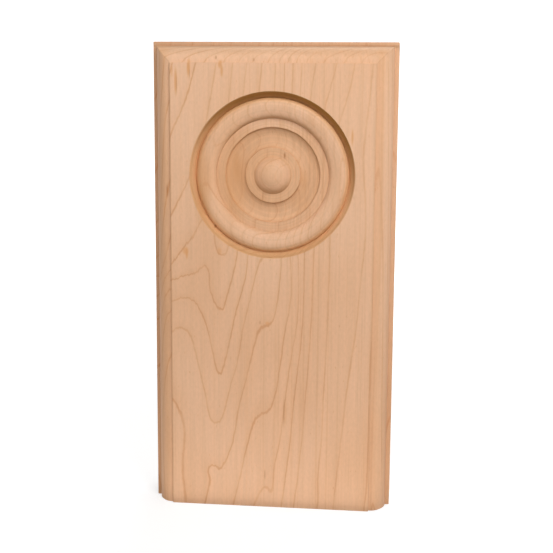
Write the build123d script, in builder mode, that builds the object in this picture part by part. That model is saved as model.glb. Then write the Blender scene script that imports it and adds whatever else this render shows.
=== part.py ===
# Plinth block with a rosette, worked from one piece of solid maple.
# It stands on its square-cut lower end, with its face towards -Y. The origin is
# at the middle of that end, in width and in thickness. Sizes are in millimetres.

from build123d import *
from math import cos, radians, sin
import os

# The blank
block_width = 95.25
block_height = 184.15
block_thickness = 28.6
back_ease = 0.5  # the sanded edges round the back face

# The moulding, run up both long edges and across the top
step_drop = 1.0  # from the face down to where the curve starts
ovolo_upper_radius = 5.3  # the curve is two arcs, the tighter one next to the face
ovolo_lower_radius = 9.3
ovolo_change = 45  # slope in degrees where one arc takes over from the other
shoulder_width = 1.6  # flat ledge between the curve and the side

# The rosette, from its middle outwards
rosette_from_top = 50.8  # from the top end to the middle of the rosette
button_radius = 7.3
inner_ring_width = 3.4
inner_riser_run = 0.3
cove_width = 7.1
outer_riser_run = 0.4
outer_ring_width = 3.4
bead_inner_run = 5.1  # from the foot of the bead, on the ring side, to its crown
bead_outer_run = 2.8  # from its crown to the foot of the wall
wall_run = 2.2

# How far each part of the rosette lies below the face
button_depth = 0.2
inner_ring_depth = 4.2
inner_riser_drop = 1.1
cove_sag = 0.8  # hollow of the cove below the line between its edges
outer_riser_drop = 1.1
outer_ring_depth = 3.8
bead_rise = 2.8  # crown of the bead above the outer ring
wall_foot_depth = 3.3  # where the bead's outer side meets the wall

# The ovolo's width and fall, from its two arcs
lower_cos = cos(radians(ovolo_change))
lower_sin = sin(radians(ovolo_change))
ovolo_run = ovolo_lower_radius * (1 - lower_cos) + ovolo_upper_radius * lower_cos
ovolo_drop = ovolo_lower_radius * lower_sin + ovolo_upper_radius * (1 - lower_sin)

# Places worked out from the sizes above
face_y = -block_thickness / 2
side_x = block_width / 2
rosette_z = block_height - rosette_from_top
moulding_width = shoulder_width + ovolo_run
moulding_depth = step_drop + ovolo_drop
cutter_overrun = 2.0  # how far a cutter's outline stands clear of the blank

# Radii where the rosette's profile turns
ring_edge = button_radius + inner_ring_width
cove_start = ring_edge + inner_riser_run
cove_end = cove_start + cove_width
outer_ring_start = cove_end + outer_riser_run
bead_start = outer_ring_start + outer_ring_width
bead_crown = bead_start + bead_inner_run
bead_end = bead_crown + bead_outer_run
rim_radius = bead_end + wall_run

# Depths where the rosette's profile turns
cove_inner_depth = inner_ring_depth + inner_riser_drop
cove_outer_depth = outer_ring_depth + outer_riser_drop
cove_floor_depth = (cove_inner_depth + cove_outer_depth) / 2 + cove_sag
bead_crown_depth = outer_ring_depth - bead_rise

# In each plane below, x runs in from the blank's edge or out from the rosette's
# middle, and y runs from the face down into the wood
left_edge = Plane(origin=(-side_x, face_y, 0), x_dir=(1, 0, 0), z_dir=(0, 0, 1))
top_edge = Plane(origin=(-side_x, face_y, block_height), x_dir=(0, 0, -1), z_dir=(1, 0, 0))
right_edge = Plane(origin=(side_x, face_y, block_height), x_dir=(-1, 0, 0), z_dir=(0, 0, -1))
rosette_section = Plane(origin=(0, face_y, rosette_z), x_dir=(1, 0, 0), z_dir=(0, 0, 1))
rosette_axis = Axis((0, face_y, rosette_z), (0, 1, 0))


def moulding_waste(edge_plane):
    # Outline of the wood taken off one edge: ledge, ovolo in two arcs, small step
    with BuildSketch(edge_plane) as waste:
        with BuildLine():
            Polyline((-cutter_overrun, moulding_depth), (shoulder_width, moulding_depth))
            lower_arc = JernArc(
                (shoulder_width, moulding_depth), (0, -1), ovolo_lower_radius, ovolo_change
            )
            JernArc(lower_arc @ 1, lower_arc % 1, ovolo_upper_radius, 90 - ovolo_change)
            Polyline(
                (moulding_width, step_drop),
                (moulding_width, -cutter_overrun),
                (-cutter_overrun, -cutter_overrun),
                (-cutter_overrun, moulding_depth),
            )
        make_face()
    return waste.sketch


def rosette_waste():
    # Half outline of the wood turned away: button, ring, cove, ring, bead and wall
    with BuildSketch(rosette_section) as waste:
        with BuildLine():
            TangentArc((0, button_depth), (button_radius, inner_ring_depth), tangent=(1, 0))
            Polyline(
                (button_radius, inner_ring_depth),
                (ring_edge, inner_ring_depth),
                (cove_start, cove_inner_depth),
            )
            ThreePointArc(
                (cove_start, cove_inner_depth),
                ((cove_start + cove_end) / 2, cove_floor_depth),
                (cove_end, cove_outer_depth),
            )
            Polyline(
                (cove_end, cove_outer_depth),
                (outer_ring_start, outer_ring_depth),
                (bead_start, outer_ring_depth),
            )
            # The bead stands upright from the ring and from the foot of the wall
            EllipticalCenterArc(
                (bead_crown, outer_ring_depth), bead_inner_run, bead_rise, 180, arc_size=90
            )
            EllipticalCenterArc(
                (bead_crown, wall_foot_depth),
                bead_outer_run,
                wall_foot_depth - bead_crown_depth,
                270,
                arc_size=90,
            )
            Polyline(
                (bead_end, wall_foot_depth),
                (rim_radius, 0),
                (rim_radius, -cutter_overrun),
                (0, -cutter_overrun),
                (0, button_depth),
            )
        make_face()
    return waste.sketch


with BuildPart() as plinth_block:
    with Locations((0, 0, block_height / 2)):
        Box(block_width, block_thickness, block_height)
    fillet(plinth_block.faces().sort_by(Axis.Y)[-1].edges(), back_ease)

    # Where two runs of the moulding cross, the corner comes out mitred
    extrude(moulding_waste(left_edge), amount=block_height, mode=Mode.SUBTRACT)
    extrude(moulding_waste(top_edge), amount=block_width, mode=Mode.SUBTRACT)
    extrude(moulding_waste(right_edge), amount=block_height, mode=Mode.SUBTRACT)

    revolve(rosette_waste(), axis=rosette_axis, mode=Mode.SUBTRACT)

plinth_block.part.label = "plinth_block"
os.makedirs("parts", exist_ok=True)
export_step(plinth_block.part, "parts/plinth_block.step")
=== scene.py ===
import math
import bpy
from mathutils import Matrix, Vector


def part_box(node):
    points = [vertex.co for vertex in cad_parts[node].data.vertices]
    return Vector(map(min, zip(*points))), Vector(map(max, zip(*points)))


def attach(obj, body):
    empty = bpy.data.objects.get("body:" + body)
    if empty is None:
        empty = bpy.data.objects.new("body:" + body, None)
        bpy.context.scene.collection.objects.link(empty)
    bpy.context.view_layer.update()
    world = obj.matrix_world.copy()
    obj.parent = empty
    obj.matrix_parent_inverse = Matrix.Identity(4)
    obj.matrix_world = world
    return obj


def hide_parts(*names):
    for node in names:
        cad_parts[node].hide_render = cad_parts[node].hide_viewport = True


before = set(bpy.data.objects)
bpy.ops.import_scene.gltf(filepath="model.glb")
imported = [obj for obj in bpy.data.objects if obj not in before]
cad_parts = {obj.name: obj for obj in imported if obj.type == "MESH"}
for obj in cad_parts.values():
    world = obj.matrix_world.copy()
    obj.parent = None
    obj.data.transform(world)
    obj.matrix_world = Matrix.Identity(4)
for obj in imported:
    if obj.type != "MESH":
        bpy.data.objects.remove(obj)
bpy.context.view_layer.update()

from types import SimpleNamespace

import bmesh
import bpy
import numpy as np
from mathutils import Matrix, Vector

mm = 0.001
blockLow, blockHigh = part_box("plinth_block")
faceY = blockLow.y  # the moulded face looks towards -Y
blockThickness = blockHigh.y - blockLow.y
halfWidth = blockHigh.x
blockHeight = blockHigh.z
print("frame loaded, block in mm:", [round(v / mm, 2) for v in blockHigh - blockLow])


# sizes of the edge moulding, in mm, from the face out to the side
edgeMoulding = {
    "stepDrop": 1.0,  # small step down from the face
    "upperRadius": 5.3,  # the ovolo is two arcs, the tighter one uppermost
    "lowerRadius": 9.3,
    "arcChange": 45.0,  # slope in degrees where one arc takes over from the other
    "ledgeWidth": 1.6,
    "flatMargin": 1.2,  # strip of the flat face, and of the back, made along with the moulding
    "mitreRound": 0.2,  # softening along the mitre
    "mitreSteps": 5,
    "runStep": 12.0,  # a straight run has about one point for each of these lengths
}

# sizes of the rosette, in mm, from its middle outwards, and depths below the face
rosette = {
    "belowTop": 50.8,
    "buttonRadius": 7.3,
    "innerRing": 3.4,
    "innerRiser": 0.3,
    "cove": 7.1,
    "outerRiser": 0.4,
    "outerRing": 3.4,
    "beadInner": 5.1,
    "beadOuter": 2.8,
    "wallRun": 2.2,
    "buttonDepth": 0.2,
    "innerRingDepth": 4.2,
    "innerRiserDrop": 1.1,
    "coveSag": 0.8,
    "outerRiserDrop": 1.1,
    "outerRingDepth": 3.8,
    "beadRise": 2.8,
    "wallFootDepth": 3.3,
    "collar": 1.2,  # flat face carried round the rim
    "turnSteps": 288,  # points round each ring
}
rosetteZ = blockHeight - rosette["belowTop"] * mm

# how the sandpaper has softened every corner, in mm
sanding = {
    "sample": 0.04,  # distance between the points of a profile while it is softened
    "onMoulding": 0.09,
    "onRosette": 0.12,
    "spread": 4,  # how far a corner's softening reaches, against the two softnesses above
    "keepTurn": 8.0,  # about the most bend between two kept points, in degrees
    "keepLength": 1.6,  # and the most length
    "footEase": 0.15,
    "footSteps": 4,
    "backEase": 0.5,
    "backSteps": 8,
    "flatWeight": 100,  # how firmly the shading follows the large flats
}


def arcPoints(centre, radii, start, end, steps=40):
    # angles in degrees, 0 towards the side or the rim, 90 into the wood
    across, deep = radii
    angles = np.radians(np.linspace(start, end, steps))
    return [(centre[0] + across * math.cos(a), centre[1] + deep * math.sin(a)) for a in angles]


def hollowLine(start, end, sag, steps=40):
    # circular arc that dips below its chord by sag
    start, end = Vector(start), Vector(end)
    along = end - start
    half = along.length / 2
    radius = (half**2 + sag**2) / (2 * sag)
    down = Vector((-along.y, along.x)).normalized()
    centre = (start + end) / 2 + down * (sag - radius)
    reach = math.asin(half / radius)
    along.normalize()
    return [
        tuple(centre + down * radius * math.cos(t) + along * radius * math.sin(t))
        for t in np.linspace(-reach, reach, steps)
    ]


def sandedProfile(points, softness):
    # resample, soften the corners, then keep only the points the shape needs
    points = np.array(points)
    lengths = np.r_[0, np.cumsum(np.hypot(*np.diff(points, axis=0).T))]
    count = int(lengths[-1] / sanding["sample"])
    even = np.linspace(0, lengths[-1], count)
    path = np.column_stack([np.interp(even, lengths, values) for values in points.T])
    reach = int(sanding["spread"] * softness / sanding["sample"])
    weights = np.exp(-0.5 * (np.arange(-reach, reach + 1) * sanding["sample"] / softness) ** 2)
    weights /= weights.sum()
    before = 2 * path[0] - path[reach:0:-1]
    after = 2 * path[-1] - path[-2 : -reach - 2 : -1]
    padded = np.r_[before, path, after]
    path = np.column_stack([np.convolve(values, weights, "valid") for values in padded.T])
    heading = np.unwrap(np.arctan2(*np.diff(path, axis=0).T[::-1]))
    kept, lastHeading, sinceKept = [0], heading[0], 0.0
    for i in range(1, count - 1):
        sinceKept += sanding["sample"]
        bend = abs(math.degrees(heading[i] - lastHeading))
        if bend > sanding["keepTurn"] or sinceKept > sanding["keepLength"]:
            kept.append(i)
            lastHeading, sinceKept = heading[i], 0.0
    return path[kept + [count - 1]]


def mouldingWidth():
    # width of the ledge and the ovolo together
    m = edgeMoulding
    slope = math.radians(m["arcChange"])
    lowerRun = m["lowerRadius"] * (1 - math.cos(slope))
    return m["ledgeWidth"] + lowerRun + m["upperRadius"] * math.cos(slope)


def mouldingProfile():
    # (inset from the side, depth below the face), from the face round to the back
    m = edgeMoulding
    slope = math.radians(m["arcChange"])
    width = mouldingWidth()
    upperDrop = m["upperRadius"] * (1 - math.sin(slope))
    depth = m["stepDrop"] + upperDrop + m["lowerRadius"] * math.sin(slope)
    back = blockThickness / mm
    ease = sanding["backEase"]
    upperCentre = (width, m["stepDrop"] + m["upperRadius"])
    lowerCentre = (m["ledgeWidth"] + m["lowerRadius"], depth)
    change = 180 + m["arcChange"]
    points = [(width + m["flatMargin"], 0), (width, 0)]
    points += arcPoints(upperCentre, [m["upperRadius"]] * 2, 270, change)
    points += arcPoints(lowerCentre, [m["lowerRadius"]] * 2, change, 180)
    points += [(0, depth), (0, back - ease)]
    points += arcPoints((ease, back - ease), (ease, ease), 180, 90, sanding["backSteps"])
    points += [(ease + m["flatMargin"], back)]
    return sandedProfile(points, sanding["onMoulding"]) * mm


def rosetteRadii():
    # where the turned profile changes, from the middle outwards
    r = rosette
    parts = ("buttonRadius", "innerRing", "innerRiser", "cove", "outerRiser", "outerRing")
    parts += ("beadInner", "beadOuter", "wallRun")
    edges = np.cumsum([r[part] for part in parts])
    names = ("button", "ringEdge", "coveStart", "coveEnd", "ringStart", "beadStart")
    return dict(zip(names + ("beadCrown", "beadEnd", "rim"), edges))


def rosetteProfile():
    # (radius, depth below the face), from the crown of the button out to the face
    r = rosette
    at = rosetteRadii()
    rise = r["innerRingDepth"] - r["buttonDepth"]
    ball = (at["button"] ** 2 + rise**2) / (2 * rise)
    reach = math.degrees(math.asin(at["button"] / ball))
    ringDepth = r["outerRingDepth"]
    wallFoot = r["wallFootDepth"]
    crown = ringDepth - r["beadRise"]
    coveStart = (at["coveStart"], r["innerRingDepth"] + r["innerRiserDrop"])
    coveEnd = (at["coveEnd"], ringDepth + r["outerRiserDrop"])
    points = arcPoints((0, r["buttonDepth"] + ball), (ball, ball), 270, 270 + reach)
    points += [(at["ringEdge"], r["innerRingDepth"])]
    points += hollowLine(coveStart, coveEnd, r["coveSag"])
    points += [(at["ringStart"], ringDepth)]
    points += arcPoints((at["beadCrown"], ringDepth), (r["beadInner"], r["beadRise"]), 180, 270)
    points += arcPoints((at["beadCrown"], wallFoot), (r["beadOuter"], wallFoot - crown), 270, 360)
    points += [(at["rim"], 0), (at["rim"] + r["collar"], 0)]
    path = sandedProfile(points, sanding["onRosette"])
    path[0, 0] = 0
    return path * mm


def turnRosette(mesh):
    # rings of vertices round the rosette's axis, of which the outermost is handed back
    steps = rosette["turnSteps"]
    turns = [2 * math.pi * i / steps for i in range(steps)]
    profile = rosetteProfile()
    crown = mesh.verts.new((0, faceY + profile[0][1], rosetteZ))
    rings = [
        [mesh.verts.new((r * math.sin(t), faceY + d, rosetteZ + r * math.cos(t))) for t in turns]
        for r, d in profile[1:]
    ]
    for i in range(steps):
        mesh.faces.new((crown, rings[0][i], rings[0][i - 1]))
        for inner, outer in zip(rings, rings[1:]):
            mesh.faces.new((inner[i], outer[i], outer[i - 1], inner[i - 1]))
    return rings[-1]


def runMoulding(mesh):
    # each point of the profile runs up one side, across the top and down the other
    strip = mouldingProfile()
    slope = np.gradient(strip, axis=0)
    slope /= np.hypot(*slope.T)[:, None]
    intoWood = np.c_[slope[:, 1], -slope[:, 0]]
    ease = sanding["footEase"] * mm
    footAngles = np.radians(np.linspace(90, 0, sanding["footSteps"]))
    footTurn = [(ease * (1 - math.cos(t)), ease * (1 - math.sin(t))) for t in footAngles]
    soft = edgeMoulding["mitreRound"] * mm
    mitreTurn = np.radians(np.linspace(180, 90, edgeMoulding["mitreSteps"]))
    upSteps = int(blockHeight / mm / edgeMoulding["runStep"])
    acrossSteps = int(halfWidth / mm / edgeMoulding["runStep"])
    runs = []
    for (inset, depth), inward in zip(strip, intoWood):
        line = []
        for off, z in footTurn:
            line.append((inset + inward[0] * off - halfWidth, faceY + depth + inward[1] * off, z))
        top = blockHeight - inset - soft
        left = inset + soft - halfWidth
        for z in np.linspace(ease, top, upSteps)[1:-1]:
            line.append((inset - halfWidth, faceY + depth, z))
        for t in mitreTurn:
            line.append((left + soft * math.cos(t), faceY + depth, top + soft * math.sin(t)))
        for x in np.linspace(left, 0, acrossSteps)[1:]:
            line.append((x, faceY + depth, top + soft))
        mirrored = [(-x, y, z) for x, y, z in line[-2::-1]]
        runs.append([mesh.verts.new(p) for p in line + mirrored])
    for outer, inner in zip(runs[1:], runs):
        for i in range(len(inner) - 1):
            mesh.faces.new((inner[i], inner[i + 1], outer[i + 1], outer[i]))
    return runs


def closeFootAndBack(mesh, runs):
    # the lower end, with the edges of the face and the back eased like the moulding's, then
    # the flat of the back
    eased = sanding["footSteps"] - 1
    for run in (runs[0], runs[-1]):
        for i in range(eased):
            mesh.faces.new((run[i], run[i + 1], run[-2 - i], run[-1 - i]))
    mesh.faces.new([run[0] for run in runs] + [run[-1] for run in reversed(runs)])
    mesh.faces.new(runs[-1][eased : len(runs[-1]) - eased])


def closeFace(mesh, run, rim):
    # the flat of the face, between the rim of the rosette and the moulding
    eased = sanding["footSteps"] - 1
    flat = run[eased : len(run) - eased]
    sides = zip(flat, flat[1:] + flat[:1])
    outline = [mesh.edges.get(side) or mesh.edges.new(side) for side in sides]
    circle = [mesh.edges.get((rim[i - 1], rim[i])) for i in range(len(rim))]
    bmesh.ops.triangle_fill(mesh, use_beauty=True, edges=outline + circle)


def buildBlock():
    mesh = bmesh.new()
    rim = turnRosette(mesh)
    runs = runMoulding(mesh)
    closeFootAndBack(mesh, runs)
    closeFace(mesh, runs[0], rim)
    bmesh.ops.recalc_face_normals(mesh, faces=mesh.faces)
    data = bpy.data.meshes.new("plinthBlock")
    mesh.to_mesh(data)
    mesh.free()
    data.shade_smooth()
    block = bpy.data.objects.new("plinthBlock", data)
    bpy.context.collection.objects.link(block)
    flatShading = block.modifiers.new("keep flats flat", "WEIGHTED_NORMAL")
    flatShading.weight = sanding["flatWeight"]
    print("block built:", len(data.polygons), "faces")
    return block


# the wood: hard maple, bare and sanded

mapleTone = {
    "pale": (0.725, 0.434, 0.262),
    "warm": (0.69, 0.394, 0.222),
    "growthLine": (0.84, 0.70, 0.55),  # this and the next four multiply the colour they lie on
    "endGrain": (0.87, 0.85, 0.80),  # where the fibres are cut across
    "turned": (0.92, 0.87, 0.78),  # painted shade deep in the rosette, weaker near its top
    "wall": (1.03, 0.98, 0.82),  # a warmer colour painted on the rosette's wall and the bead beside it, for light bounced in the recess
    "paintedTopLight": (1.05, 1.08, 1.12),  # painted light: the wood is drawn paler towards the top of the block
    "paintedShade": (0.28, 0.11, 0.012),  # painted shade in the rosette's corners, rim and upper wall and along the edges
    "orange": (0.66, 0.31, 0.115),  # short streaks
    "amber": (0.58, 0.27, 0.095),  # wider patches of deeper wood
    "mark": (0.38, 0.14, 0.035),  # small dark marks
}

# figure in the wood: how fine it is in x, y and z (per mm), detail and roughness of its noise,
# two levels of the noise, and how strong the figure is at each of them
woodFigure = {
    "warmth": ((0.035, 0.035, 0.014), (2.0, 0.5), (0.3, 0.7), (0.0, 1.0)),
    "streaks": ((0.4, 0.4, 0.012), (3.0, 0.6), (0.25, 0.75), (0.97, 1.03)),
    "fibre": ((2.4, 2.4, 0.07), (2.0, 0.6), (0.2, 0.8), (0.97, 1.03)),
    "mottle": ((1.1, 1.1, 0.6), (3.0, 0.5), (0.3, 0.7), (0.975, 1.025)),
    "patchyLines": ((0.09, 0.09, 0.05), (3.0, 0.5), (0.38, 0.6), (0.55, 1.0)),
    "flecks": ((1.5, 1.5, 0.5), (1.0, 0.5), (0.68, 0.78), (0.0, 0.5)),
    "fineLines": ((1.0, 1.0, 0.01), (2.0, 0.5), (0.52, 0.68), (0.0, 0.3)),
}

# the growth layers: how many layers are crossed along each direction, per 100 mm
growthLayers = {
    "start": 0.46,  # the count at the middle of the face's lower end, before the swellings
    "across": -10.8,
    "up": 3.1,
    "inwards": 38.0,
    # swellings that bend the layers: size in layers, place (x, z) and spread in mm. The first
    # five, with start, across and up above, are a least-squares fit to points read off the
    # photo's lines, rounded. The rest are set one by one.
    "swellings": [
        (2.3, (-18.7, 73.6), (10.0, 59.0)),  # ridge that draws the row of Vs, left of the middle
        (1.75, (1.8, 88.5), (7.5, 86.0)),  # lesser ridge up the middle
        (-5.8, (27.0, 225.0), (29.0, 160.0)),  # long hollow at the upper right
        (-4.8, (-70.0, 46.0), (43.5, 49.0)),  # hollow past the left side
        (-0.8, (-37.0, 77.0), (27.0, 18.0)),
        (-0.5, (46.0, 130.0), (8.0, 50.0)),  # these four set the lines up the right edge
        (1.0, (25.0, 180.0), (10.0, 25.0)),
        (-0.4, (41.0, 178.0), (6.0, 20.0)),
        (0.35, (36.0, 112.0), (5.0, 25.0)),
        (0.25, (-24.0, 35.0), (6.0, 9.0)),  # the rest are small bends in single lines
        (-0.35, (-14.5, 47.0), (4.0, 13.0)),
        (0.17, (-20.3, 54.0), (3.0, 7.0)),
        (0.15, (-19.0, 80.0), (3.0, 6.0)),
        (0.45, (-10.5, 98.0), (3.5, 16.0)),
        (-0.6, (-25.5, 96.5), (3.4, 7.0)),
        (0.35, (-40.0, 100.0), (7.0, 7.0)),
        (-0.5, (-25.5, 112.0), (3.5, 8.0)),
        (0.4, (-17.0, 106.0), (3.0, 6.0)),
        (-0.25, (-40.0, 150.0), (6.0, 15.0)),
        (-0.6, (-43.0, 20.0), (5.0, 24.0)),
        (-0.5, (-40.0, -2.0), (6.0, 14.0)),
        (0.18, (-30.5, 20.0), (4.0, 12.0)),
        (0.25, (-28.5, 4.0), (4.0, 12.0)),
        (-0.17, (-23.5, 15.0), (2.6, 3.6)),
        (0.3, (1.5, 6.0), (2.5, 8.0)),
        (-0.12, (-1.5, 74.0), (5.0, 6.0)),
        (0.9, (9.5, 85.0), (3.5, 22.0)),
        (0.35, (20.0, 0.0), (5.0, 12.0)),
        (0.15, (20.5, 25.0), (5.0, 20.0)),
        (0.17, (33.5, 78.0), (5.0, 22.0)),
        (-0.5, (41.0, 75.0), (5.0, 40.0)),
        (0.35, (37.0, 0.0), (4.0, 25.0)),
    ],
    # what pushes a layer about: how fine it is (per mm), and how far it reaches (mm)
    "wander": ((0.1, 0.1, 0.06), (0.6, 0, 1.6)),  # twigs and knots near by
    "ragged": ((0.9, 0.9, 0.28), (0.5, 0, 2.4)),  # the uneven edge, from fibre to fibre
    "pushDetail": 2.0,
    "lineWidth": 0.24,  # half of a line's width, in mm along the surface
    "lineThickness": 0.018,  # and in layers, so that lines widen where they are cut at a slant
    "lineEdge": (0.2, 1.3),  # where a line starts to fade and where it ends, in half widths
    "lateWood": (0.35, 0.2),  # share of a layer that darkens towards its line, and how much
    "faintYears": (0.6, 0.8),  # share of the lines that are weaker, and the weakest of them
}

# marks in the wood: place (x, z) and half size (x, z) in mm, and how strong
marks = {
    "mark": [
        ((-21.7, 178.0), (0.5, 0.9), 0.5),
        ((-7.2, 177.2), (0.5, 0.8), 0.4),
        ((6.0, 164.6), (0.5, 0.5), 0.6),
        ((-22.3, 113.2), (0.6, 0.8), 0.7),
        ((4.6, 141.0), (0.5, 1.6), 0.85),
        ((-3.8, 124.8), (0.3, 2.0), 0.4),
        ((-41.0, 126.8), (0.5, 3.2), 0.6),
        ((-4.2, 75.8), (0.3, 0.9), 0.4),
        ((5.5, 39.5), (0.35, 7.0), 0.4),
        ((-2.0, 13.5), (0.35, 2.5), 0.4),
        ((-36.8, 168.0), (0.25, 4.5), 0.3),
        ((-31.7, 171.8), (0.25, 2.4), 0.35),
    ],
    "orange": [
        ((-37.1, 169.0), (0.7, 6.0), 0.8),
        ((-38.6, 173.0), (0.5, 3.0), 0.5),
        ((-32.1, 174.2), (0.8, 4.0), 0.9),
        ((-20.0, 175.5), (0.9, 1.8), 0.8),
        ((-19.3, 173.0), (0.6, 2.6), 0.8),
        ((30.8, 148.5), (0.5, 3.5), 0.8),
        ((-1.3, 75.6), (1.0, 0.8), 0.6),
        ((-33.7, 103.6), (1.4, 1.8), 0.7),
        ((-33.2, 102.6), (0.6, 2.6), 0.8),
        ((-20.3, 103.8), (1.1, 1.6), 0.5),
    ],
    "amber": [
        ((5.9, 39.5), (0.9, 6.0), 0.25),
        ((-14.3, 136.0), (2.0, 8.0), 0.5),  # the next seven are inside the rosette
        ((-14.5, 130.0), (6.0, 16.0), 0.38),
        ((12.2, 130.5), (1.8, 6.5), 0.42),
        ((10.0, 123.5), (5.0, 5.0), 0.25),
        ((-9.0, 134.0), (19.0, 23.0), 0.22),
        ((-27.0, 130.0), (3.6, 18.0), 0.45),
        ((24.0, 130.0), (5.0, 14.0), 0.13),
        ((-43.5, 95.0), (4.5, 150.0), 0.32),  # along the left edge
        ((41.0, 120.0), (2.2, 110.0), 0.24),  # by the step on the right
    ],
    "deep": 12.5,  # half size of every mark into the wood
    "edge": (1.2, 0.3),  # where a mark ends and where it is full, against its half size
}


class NodeSheet:
    # short names for the nodes used below; plain numbers and sockets both work as inputs
    def __init__(self, tree):
        self.tree = tree
        tree.nodes.clear()

    def add(self, kind, inputs=(), **settings):
        node = self.tree.nodes.new(kind)
        for name, value in settings.items():
            setattr(node, name, value)
        pairs = inputs.items() if isinstance(inputs, dict) else enumerate(inputs)
        for key, value in pairs:
            if isinstance(value, bpy.types.NodeSocket):
                self.tree.links.new(value, node.inputs[key])
            elif value is not None:
                node.inputs[key].default_value = value
        return node

    def math(self, operation, *values):
        return self.add("ShaderNodeMath", values, operation=operation).outputs[0]

    def times(self, first, *others):
        for value in others:
            first = self.math("MULTIPLY", first, value)
        return first

    def most(self, first, *others):
        for value in others:
            first = self.math("MAXIMUM", first, value)
        return first

    def vector(self, operation, *values):
        node = self.add("ShaderNodeVectorMath", values, operation=operation)
        return node.outputs["Value"] if operation in ("DOT_PRODUCT", "LENGTH") else node.outputs[0]

    def scaled(self, vector, factor):
        return self.vector("SCALE", vector, None, None, factor)

    def fade(self, value, start, end, low=0.0, high=1.0):
        # smooth change from low to high while value goes from start to end
        limits = {"Value": value, "From Min": start, "From Max": end, "To Min": low, "To Max": high}
        return self.add("ShaderNodeMapRange", limits, interpolation_type="SMOOTHSTEP").outputs[0]

    def band(self, value, line, gone, full, strength=1.0):
        # soft band along a line: how far from it the band has gone, and how far it is full
        away = self.math("ABSOLUTE", self.math("SUBTRACT", value, line))
        return self.fade(away, gone, full, 0.0, strength)

    def noise(self, place, fineness, detail, roughness=0.5, output="Fac"):
        moved = self.vector("MULTIPLY", place, fineness)
        settings = {"Vector": moved, "Scale": 1.0, "Detail": detail, "Roughness": roughness}
        return self.add("ShaderNodeTexNoise", settings).outputs[output]

    def figured(self, place, fineness, grain, levels, strengths):
        # one row of woodFigure
        return self.fade(self.noise(place, fineness, *grain), *levels, *strengths)

    def mixColour(self, amount, a, b):
        # the node's colours go in at 6 and 7, and come out at 2
        node =self.add("ShaderNodeMix", data_type="RGBA")
        for key, value in ((0, amount), (6, a), (7, b)):
            if isinstance(value, bpy.types.NodeSocket):
                self.tree.links.new(value, node.inputs[key])
            else:
                node.inputs[key].default_value = value if key == 0 else (*value, 1.0)
        return node.outputs[2]

    def tinted(self, colour, amount, tint):
        return self.mixColour(amount, colour, self.vector("MULTIPLY", colour, tint))


def growthField(s, place):
    # number of growth layers crossed at a place, and how fast that changes per mm
    g = growthLayers
    slope = tuple(g[key] / 100 for key in ("across", "inwards", "up"))
    layers = s.math("ADD", s.vector("DOT_PRODUCT", place, slope), g["start"])
    change = slope
    for size, (x, z), (spreadX, spreadZ) in g["swellings"]:
        away = s.vector("SUBTRACT", place, (x, 0, z))
        scaled = s.vector("MULTIPLY", away, (1 / spreadX, 0, 1 / spreadZ))
        fall = s.math("EXPONENT", s.math("MULTIPLY", s.vector("DOT_PRODUCT", scaled, scaled), -1))
        swell = s.math("MULTIPLY", fall, size)
        layers = s.math("ADD", layers, swell)
        steep = s.vector("MULTIPLY", scaled, (-2 / spreadX, 0, -2 / spreadZ))
        change = s.vector("ADD", change, s.scaled(steep, swell))
    return layers, change


def growthLines(s, place, normal):
    # how dark the lines between the growth layers are, from 0 to 1
    g = growthLayers
    bent = place
    for fineness, reach in (g["wander"], g["ragged"]):
        push = s.noise(place, fineness, g["pushDetail"], output="Color")
        push = s.vector("SUBTRACT", push, (0.5, 0.5, 0.5))  # the noise lies round 0.5
        bent = s.vector("MULTIPLY_ADD", push, reach, bent)
    layers, change = growthField(s, bent)

    # how far the nearest line is, against its width here
    outwards = s.vector("DOT_PRODUCT", change, normal)
    alongSurface = s.vector("SUBTRACT", change, s.scaled(normal, outwards))
    steepness = s.vector("LENGTH", alongSurface)
    width = s.math("MULTIPLY_ADD", steepness, g["lineWidth"], g["lineThickness"])
    nearest = s.math("ROUND", layers)
    away = s.math("DIVIDE", s.math("ABSOLUTE", s.math("SUBTRACT", layers, nearest)), width)
    core = s.fade(away, *g["lineEdge"], 1.0, 0.0)
    lateShare, lateDepth = g["lateWood"]
    late = s.fade(s.math("FRACT", layers), lateShare, 0.0, 0.0, lateDepth)

    # some years leave a faint line, and each line comes and goes along its length
    year = s.add("ShaderNodeTexWhiteNoise", {"W": nearest}, noise_dimensions="1D").outputs["Value"]
    faintShare, faintest = g["faintYears"]
    yearStrength = s.fade(year, 0.0, faintShare, faintest, 1.0)
    patchy = s.figured(place, *woodFigure["patchyLines"])
    return s.times(s.most(core, late), s.times(yearStrength, patchy))


# painted shade in the rosette, in mm. A band is gone and full at these distances from its line.
# A turn is two heights of the direction from the middle (up is 1, down is -1), and the painted
# shade at each of them; for a corner it is the direction that the surface faces.
rosettePaintedShade = {
    "upwards": (0.3, 0, 0.95),  # the painted shade is darkest a little right of straight up
    "wallInsets": (0.4, 0.6),  # the wall's shade starts inside its foot and ends inside its rim
    "wallShade": (0.5, 1.0),
    "wallHalf": 1.3,  # half of the wall's width, with a little to spare
    "wallTurn": (-0.2, 0.85, 0.08, 0.95),
    "rimInset": 0.4,
    "rimBand": (0.7, 0.1),
    "rimTurn": (-0.2, 0.6, 0.25, 0.9),
    "beadInset": 1.7,
    "beadBand": (2.2, 0.2),
    "beadTurn": (0.5, -0.5, 0.0, 0.18),
    # painted shade: the corners are darkest where they face down, and a lean turns that towards the
    # left
    "cornerLean": {"button": 0.0, "coveStart": 0.0, "coveEnd": 0.2, "beadStart": 0.25},
    "cornerUpright": 0.97,
    "cornerBand": (3.2, 0.0),
    "cornerTurn": (0.0, -0.8, 0.0, 0.5),
}


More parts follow.
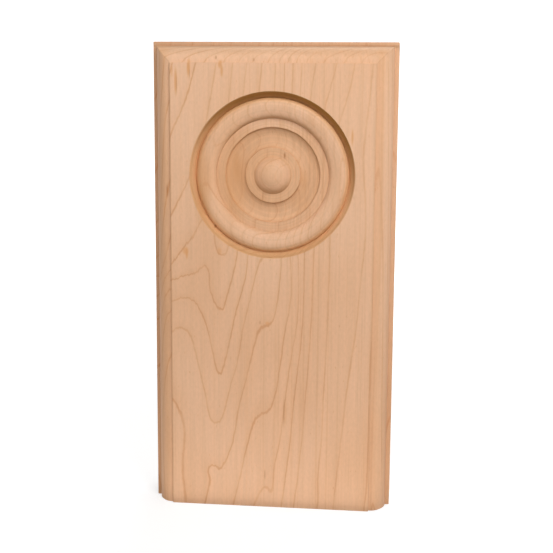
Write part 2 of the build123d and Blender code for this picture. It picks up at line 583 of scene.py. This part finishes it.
def paintRosetteShade(s, here):
    # painted shade on the wall's upper part, its rim, the bead's side and the corners facing the
    # floor
    r = rosettePaintedShade
    at = rosetteRadii()
    radius = here.radius
    upward = s.vector("DOT_PRODUCT", s.vector("NORMALIZE", here.fromMiddle), r["upwards"])
    footInset, rimInset = r["wallInsets"]
    upWall = s.fade(radius, at["beadEnd"] - footInset, at["rim"] - rimInset, *r["wallShade"])
    onWall = s.math("COMPARE", radius, (at["beadEnd"] + at["rim"]) / 2, r["wallHalf"])
    wall = s.times(upWall, onWall, s.fade(upward, *r["wallTurn"]))
    rimBand = s.band(radius, at["rim"] - r["rimInset"], *r["rimBand"])
    beadBand = s.band(radius, at["beadEnd"] - r["beadInset"], *r["beadBand"])
    paintedShade = s.most(wall, s.times(rimBand, s.fade(upward, *r["rimTurn"])))
    paintedShade = s.most(paintedShade, s.times(beadBand, s.fade(upward, *r["beadTurn"])))
    for corner, lean in r["cornerLean"].items():
        cornerBand = s.band(radius, at[corner], *r["cornerBand"])
        facing = s.vector("DOT_PRODUCT", here.normal, (lean, 0, r["cornerUpright"]))
        paintedShade = s.most(paintedShade, s.times(cornerBand, s.fade(facing, *r["cornerTurn"])))
    return s.times(paintedShade, here.shallow)


# painted shade along the edges, in mm. A band is gone and full at the first two distances from
# its line, and the third number is how dark it is. Depths are below the face.
edgePaintedShade = {
    "ledgeEdge": (0.8, -0.3),  # where it starts and where it is full, past the ledge's width
    "ledgeShade": 0.36,
    "ledgeDepth": (7.0, 8.6),
    "stepBand": (0.7, 0.1, 0.26),
    "stepDepth": (3.0, 2.0),
    "stepEnd": 0.3,  # how softly the step's line ends at the moulding of the top
    "rightToLeft": (45.0, -45.0, 0.4, 1.0),  # from one side to the other, and the share at each; the painted shade is strongest on the left
    "creaseBand": (1.2, 0.2, 0.46),
    "creaseDepth": (3.6, 6.0),
    "mitreBand": (0.5, 0.1, 0.16),
    "mitreFull": 7.5,  # the line along the mitre is full this far from the side and the top
    "lastDepth": (9.8, 9.4),
}


def paintEdgeShade(s, here):
    # painted shade on the ledge, the step along both sides, the crease by the ledge at the top and
    # the mitres
    e = edgePaintedShade
    across, depth = here.across, here.depth
    width = mouldingWidth()
    ledgeWidth = edgeMoulding["ledgeWidth"]
    fromSide = s.math("SUBTRACT", halfWidth / mm, s.math("ABSOLUTE", across))
    fromTop = s.math("SUBTRACT", blockHeight / mm, here.up)
    inset = s.math("MINIMUM", fromSide, fromTop)
    ledgeGone, ledgeFull = (ledgeWidth + past for past in e["ledgeEdge"])
    ledge = s.fade(inset, ledgeGone, ledgeFull, 0.0, e["ledgeShade"])
    ledge = s.times(ledge, s.fade(depth, *e["ledgeDepth"]))
    step = s.times(s.band(fromSide, width, *e["stepBand"]), s.fade(depth, *e["stepDepth"]))
    step = s.times(step, s.fade(fromTop, width - e["stepEnd"], width + e["stepEnd"]))
    sides = s.times(s.most(ledge, step), s.fade(across, *e["rightToLeft"]))
    crease = s.band(fromTop, ledgeWidth, *e["creaseBand"])
    crease = s.times(crease, s.fade(depth, *e["creaseDepth"]))
    mitre = s.band(fromSide, fromTop, *e["mitreBand"])
    mitre = s.times(mitre, s.fade(inset, width, e["mitreFull"]))
    return s.times(s.most(sides, s.most(crease, mitre)), s.fade(depth, *e["lastDepth"]))


# how the maple changes over the block: two places in mm, and the strength at each of them
# where it doesn't simply go from 0 to 1
overBlock = {
    # painted light, paler towards the top of the block
    "paintedTopLight": (60.0, 180.0),
    "linesToRight": (-10.0, 25.0, 1.0, 0.88),
    "linesUpwards": (125.0, 165.0, 1.0, 0.76),
    "linesAtLeft": (-15.0, -28.0),  # where they stay strong all the way up
    "linesOverTop": (174.0, 178.0, 1.0, 0.75),
    "fineLinesToRight": (-30.0, 20.0, 0.35, 1.0),
    "rosetteDepth": (8.0, 7.0),  # deeper than this, nothing belongs to the rosette
    # painted shade deep in the rosette: the depths where it sets in, and how much is left near its
    # top
    "recessShadeDepth": (2.8, 4.3),
    "recessShadeUpwards": (149.5, 152.5, 1.0, 0.4),
    # where the painted warm bounce light on the wall and the bead starts
    "wallRadius": (27.5, 29.5),
}

# the worked surface, as the tools and the sandpaper left it
surface = {
    "rimSoft": 0.2,  # mm, how softly the turned wood ends at the rim of the rosette
    "linesInRosette": 0.55,  # share of a growth line that the cutter leaves to be seen
    "endGrainTilt": (0.45, 1.0),  # how far a surface faces up or down when its fibres show ends
    "ringScale": 0.9,  # rings left by the turning tool, per mm
    "ringDetail": 2.0,
    "ringLevels": (0.3, 0.7, -0.03, 0.03),
    "rippleTurn": 6.0,  # radians per mm, for the even rings among them
    "rippleShade": 0.013,
    "bumpStrength": 0.15,
    "bumpHeight": 0.0002,  # metres
    "roughLevels": (0.3, 0.7, 0.50, 0.62),  # two levels of the fibres, and the roughness at each
    "gloss": 0.35,
}


def whereOnBlock(s):
    # the place of a point in mm, up from the foot of the block and in from its face, and how
    # it lies to the rosette
    coords = s.add("ShaderNodeTexCoord")
    place = s.vector("MULTIPLY", coords.outputs["Object"], (1 / mm, 1 / mm, 1 / mm))
    place = s.vector("SUBTRACT", place, (0, faceY / mm, 0))
    across, depth, up = s.add("ShaderNodeSeparateXYZ", [place]).outputs
    fromMiddle = s.vector("SUBTRACT", place, (0, 0, rosetteZ / mm))
    fromMiddle = s.vector("MULTIPLY", fromMiddle, (1, 0, 1))
    radius = s.vector("LENGTH", fromMiddle)
    rim, soft = rosetteRadii()["rim"], surface["rimSoft"]
    shallow = s.fade(depth, *overBlock["rosetteDepth"])
    inside = s.times(s.fade(radius, rim + soft, rim - soft), shallow)
    return SimpleNamespace(
        place=place, across=across, depth=depth, up=up, fromMiddle=fromMiddle, radius=radius,
        shallow=shallow, inside=inside, normal=s.add("ShaderNodeNewGeometry").outputs["Normal"],
    )


def plainMaple(s, here):
    # broad changes of colour, then streaks, then single fibres
    warmth = s.figured(here.place, *woodFigure["warmth"])
    wood = s.mixColour(warmth, mapleTone["pale"], mapleTone["warm"])
    streaks = s.figured(here.place, *woodFigure["streaks"])
    mottle = s.figured(here.place, *woodFigure["mottle"])
    fineness, grain, levels, strengths = woodFigure["fibre"]
    fibre = s.noise(here.place, fineness, *grain)
    wood = s.scaled(wood, s.times(streaks, s.fade(fibre, *levels, *strengths), mottle))
    # painted light: paler towards the top of the block
    paintedTopLight = s.fade(here.up, *overBlock["paintedTopLight"])
    return s.tinted(wood, paintedTopLight, mapleTone["paintedTopLight"]), fibre


def linedMaple(s, wood, here):
    # growth lines, blurred by the cutter inside the rosette and fainter to the right and the top
    line = growthLines(s, here.place, here.normal)
    line = s.times(line, s.fade(here.inside, 0.0, 1.0, 1.0, surface["linesInRosette"]))
    line = s.times(line, s.fade(here.across, *overBlock["linesToRight"]))
    upwards = s.fade(here.up, *overBlock["linesUpwards"])
    upwards = s.most(upwards, s.fade(here.across, *overBlock["linesAtLeft"]))
    line = s.times(line, upwards, s.fade(here.up, *overBlock["linesOverTop"]))
    lineColour = s.vector("MULTIPLY", wood, mapleTone["growthLine"])
    wood = s.mixColour(line, wood, lineColour)

    # short dark flecks along the fibres, and fine lines, most of them on the right
    flecks = s.figured(here.place, *woodFigure["flecks"])
    fineLines = s.figured(here.place, *woodFigure["fineLines"])
    fineLines = s.times(fineLines, s.fade(here.across, *overBlock["fineLinesToRight"]))
    return s.mixColour(s.most(flecks, fineLines), wood, lineColour)


def turnedMaple(s, wood, here):
    # painted shade deep in the rosette, painted warm bounce light on its wall, and cut fibre ends
    # drink the light
    # painted shade, darker deeper in the rosette and weaker towards its top
    turned = s.times(here.inside, s.fade(here.depth, *overBlock["recessShadeDepth"]))
    turned = s.times(turned, s.fade(here.up, *overBlock["recessShadeUpwards"]))
    wood = s.tinted(wood, turned, mapleTone["turned"])
    # a warmer colour painted on the wall and beside it, for the light that bounces about in the
    # recess
    onWall = s.times(here.inside, s.fade(here.radius, *overBlock["wallRadius"]))
    wood = s.tinted(wood, onWall, mapleTone["wall"])
    upOrDown = s.math("ABSOLUTE", s.add("ShaderNodeSeparateXYZ", [here.normal]).outputs["Z"])
    cutAcross = s.fade(upOrDown, *surface["endGrainTilt"])
    cutAcross = s.times(cutAcross, s.math("SUBTRACT", 1.0, turned))
    wood = s.tinted(wood, cutAcross, mapleTone["endGrain"])

    # fine rings left by the turning tool
    settings = {"W": here.radius, "Scale": surface["ringScale"], "Detail": surface["ringDetail"]}
    tool = s.add("ShaderNodeTexNoise", settings, noise_dimensions="1D").outputs["Fac"]
    ripple = s.math("SINE", s.math("MULTIPLY", here.radius, surface["rippleTurn"]))
    ripple = s.math("MULTIPLY", ripple, surface["rippleShade"])
    rings = s.math("ADD", s.fade(tool, *surface["ringLevels"]), ripple)
    return s.scaled(wood, s.math("MULTIPLY_ADD", rings, here.inside, 1.0))


def markedMaple(s, wood, here):
    for kind in ("amber", "orange", "mark"):
        for (x, z), (wide, tall), amount in marks[kind]:
            away = s.vector("SUBTRACT", here.place, (x, 0, z))
            away = s.vector("MULTIPLY", away, (1 / wide, 1 / marks["deep"], 1 / tall))
            shown = s.fade(s.vector("LENGTH", away), *marks["edge"], 0.0, amount)
            wood = s.mixColour(shown, wood, mapleTone[kind])
    return wood


def mapleWood():
    material = bpy.data.materials.new("maple")
    material.use_nodes = True
    s = NodeSheet(material.node_tree)
    here = whereOnBlock(s)
    wood, fibre = plainMaple(s, here)
    wood = linedMaple(s, wood, here)
    wood = turnedMaple(s, wood, here)
    # painted shade in the rosette and along the edges of the moulding
    paintedShade = s.most(paintRosetteShade(s, here), paintEdgeShade(s, here))
    wood = s.mixColour(paintedShade, wood, mapleTone["paintedShade"])
    wood = markedMaple(s, wood, here)
    fibres = {"Strength": surface["bumpStrength"], "Distance": surface["bumpHeight"], "Height": fibre}
    settings = {
        "Base Color": wood,
        "Roughness": s.fade(fibre, *surface["roughLevels"]),
        "Specular IOR Level": surface["gloss"],
        "Normal": s.add("ShaderNodeBump", fibres).outputs[0],
    }
    shader = s.add("ShaderNodeBsdfPrincipled", settings)
    s.add("ShaderNodeOutputMaterial", {"Surface": shader.outputs[0]})
    print("maple mixed:", len(material.node_tree.nodes), "nodes")
    return material


# floor, light and camera

plainWhite = (1, 1, 1, 1)
studio = {
    "paperWidth": 4.0,  # metres
    "paperFront": -2.0,
    "paperBend": 0.9,  # where the paper starts to curve up behind the block
    "bendRadius": 0.6,
    "bendSteps": 12,
    "paperTop": 2.4,
    "paperTone": 0.45,
    "paperGlow": (0.66, 1.0),  # added for the camera and in mirrors, near the block and far off
    "glowReach": (0.12, 0.6),
    "skyStrength": 0.12,
    "seenSky": 1.0,  # how bright the sky is to the camera and in mirrors
    "lampHeight": 0.09,  # the height on the block at which the lamps are aimed
    "lampPower": 10.0,  # watts that light the face to level 1 from a metre off
}

# each lamp: turned from straight in front (degrees to the right, degrees up), how far off,
# how wide, and how brightly it lights the middle of the face. The levels began as a fit to
# the photo's brightness, and were then changed one by one.
lamps = {
    "key": {"turned": (30, 45), "far": 0.5, "size": 0.18, "level": 0.455},
    "right": {"turned": (90, 20), "far": 1.1, "size": 0.8, "level": 0.26},
    "left": {"turned": (-75, 35), "far": 1.1, "size": 0.8, "level": 0.22},
    "front": {"turned": (0, 10), "far": 1.1, "size": 0.8, "level": 0.365},
    "behind": {"turned": (165, 40), "far": 1.2, "size": 0.9, "level": 0.6},
}

# a white card lying on the floor in front of the foot, which throws light back up
card = {"size": (0.14, 0.055), "inFront": 0.0305, "up": 0.001, "power": 0.016}

# where the camera stands, in mm from the middle, the face and the foot of the block, where it
# looks, in degrees, and its lens and sensor, in mm. It is a fit to the edges in the photo,
# rounded, with the pan and the roll then changed.
photoCamera = {
    "right": 51.5,
    "outFromFace": 438.2,
    "up": 169.2,
    "pan": -6.42,
    "tilt": -9.64,
    "roll": 0.375,
    "lens": 74.8,
    "sensor": 36.0,
    "nearest": 10.0,  # mm from the camera, and nothing nearer is drawn
}


def paperSweep():
    # one sheet of paper: flat under the block, then curved up behind it
    material = bpy.data.materials.new("paper")
    material.use_nodes = True
    s = NodeSheet(material.node_tree)
    path = s.add("ShaderNodeLightPath").outputs
    seen = s.most(path["Is Camera Ray"], path["Is Glossy Ray"])
    tone = studio["paperTone"]
    paper = s.add("ShaderNodeBsdfDiffuse", {"Color": (tone, tone, tone, 1)})
    away = s.vector("LENGTH", s.add("ShaderNodeTexCoord").outputs["Object"])
    strength = s.times(seen, s.fade(away, *studio["glowReach"], *studio["paperGlow"]))
    glow = s.add("ShaderNodeEmission", {"Color": plainWhite, "Strength": strength})
    both = s.add("ShaderNodeAddShader", {0: paper.outputs[0], 1: glow.outputs[0]})
    s.add("ShaderNodeOutputMaterial", {"Surface": both.outputs[0]})
    bend, radius = studio["paperBend"], studio["bendRadius"]
    side = [(studio["paperFront"], 0), (bend, 0)]
    for t in np.radians(np.linspace(0, 90, studio["bendSteps"] + 1)[1:]):
        side.append((bend + radius * math.sin(t), radius * (1 - math.cos(t))))
    side.append((side[-1][0], studio["paperTop"]))
    half = studio["paperWidth"] / 2
    corners = [(x, y, z) for y, z in side for x in (-half, half)]
    strips = [(2 * i, 2 * i + 1, 2 * i + 3, 2 * i + 2) for i in range(len(side) - 1)]
    mesh = bpy.data.meshes.new("paperSweep")
    mesh.from_pydata(corners, [], strips)
    mesh.shade_smooth()
    mesh.materials.append(material)
    sweep = bpy.data.objects.new("paperSweep", mesh)
    bpy.context.collection.objects.link(sweep)


def skyLight():
    world = bpy.data.worlds.new("studio")
    bpy.context.scene.world = world
    world.use_nodes = True
    s = NodeSheet(world.node_tree)
    path = s.add("ShaderNodeLightPath").outputs
    mirrored = s.most(path["Is Glossy Ray"], path["Is Transmission Ray"])
    seen = s.most(path["Is Camera Ray"], mirrored)
    soft, white = (
        s.add("ShaderNodeBackground", {"Color": plainWhite, "Strength": studio[strength]})
        for strength in ("skyStrength", "seenSky")
    )
    mixed = s.add("ShaderNodeMixShader", {0: seen, 1: soft.outputs[0], 2: white.outputs[0]})
    s.add("ShaderNodeOutputWorld", {"Surface": mixed.outputs[0]})


def hangLamp(name, light, place, aim):
    holder = bpy.data.objects.new(name, light)
    holder.location = place
    holder.rotation_euler = (aim - place).to_track_quat("-Z", "Y").to_euler()
    holder.visible_camera = False
    bpy.context.collection.objects.link(holder)


def hangLamps():
    middle = Vector((0, faceY, studio["lampHeight"]))
    for name, lamp in lamps.items():
        light = bpy.data.lights.new(name, "AREA")
        light.shape = "DISK"
        light.size = lamp["size"]
        light.energy = studio["lampPower"] * lamp["level"] * lamp["far"] ** 2
        turn, rise = (math.radians(v) for v in lamp["turned"])
        alongFloor = Vector((math.sin(turn), -math.cos(turn), 0))
        towards = math.cos(rise) * alongFloor + Vector((0, 0, math.sin(rise)))
        hangLamp(name, light, middle + lamp["far"] * towards, middle)
    light = bpy.data.lights.new("card", "AREA")
    light.shape = "RECTANGLE"
    light.size, light.size_y = card["size"]
    light.energy = card["power"]
    lying = Vector((0, faceY - card["inFront"], card["up"]))
    hangLamp("card", light, lying, lying + Vector((0, 0, 1)))


def placeCamera():
    c = photoCamera
    pan, tilt, roll = (math.radians(c[k]) for k in ("pan", "tilt", "roll"))
    ahead = Vector((math.sin(pan) * math.cos(tilt), math.cos(pan) * math.cos(tilt), math.sin(tilt)))
    right = Vector((math.cos(pan), -math.sin(pan), 0))
    up = right.cross(ahead)
    turnedRight = math.cos(roll) * right + math.sin(roll) * up
    turnedUp = math.cos(roll) * up - math.sin(roll) * right
    data = bpy.data.cameras.new("camera")
    data.lens = c["lens"]
    data.sensor_width = c["sensor"]
    data.clip_start = c["nearest"] * mm
    camera = bpy.data.objects.new("camera", data)
    stand = Vector((c["right"] * mm, faceY - c["outFromFace"] * mm, c["up"] * mm))
    turn = Matrix((turnedRight, turnedUp, -ahead)).transposed()
    camera.matrix_world = Matrix.Translation(stand) @ turn.to_4x4()
    bpy.context.collection.objects.link(camera)
    bpy.context.scene.camera = camera


block = buildBlock()
block.data.materials.append(mapleWood())
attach(block, "root")
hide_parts("plinth_block")

paperSweep()
skyLight()
hangLamps()
placeCamera()
bpy.context.scene.view_settings.view_transform = "Standard"
print("studio set")
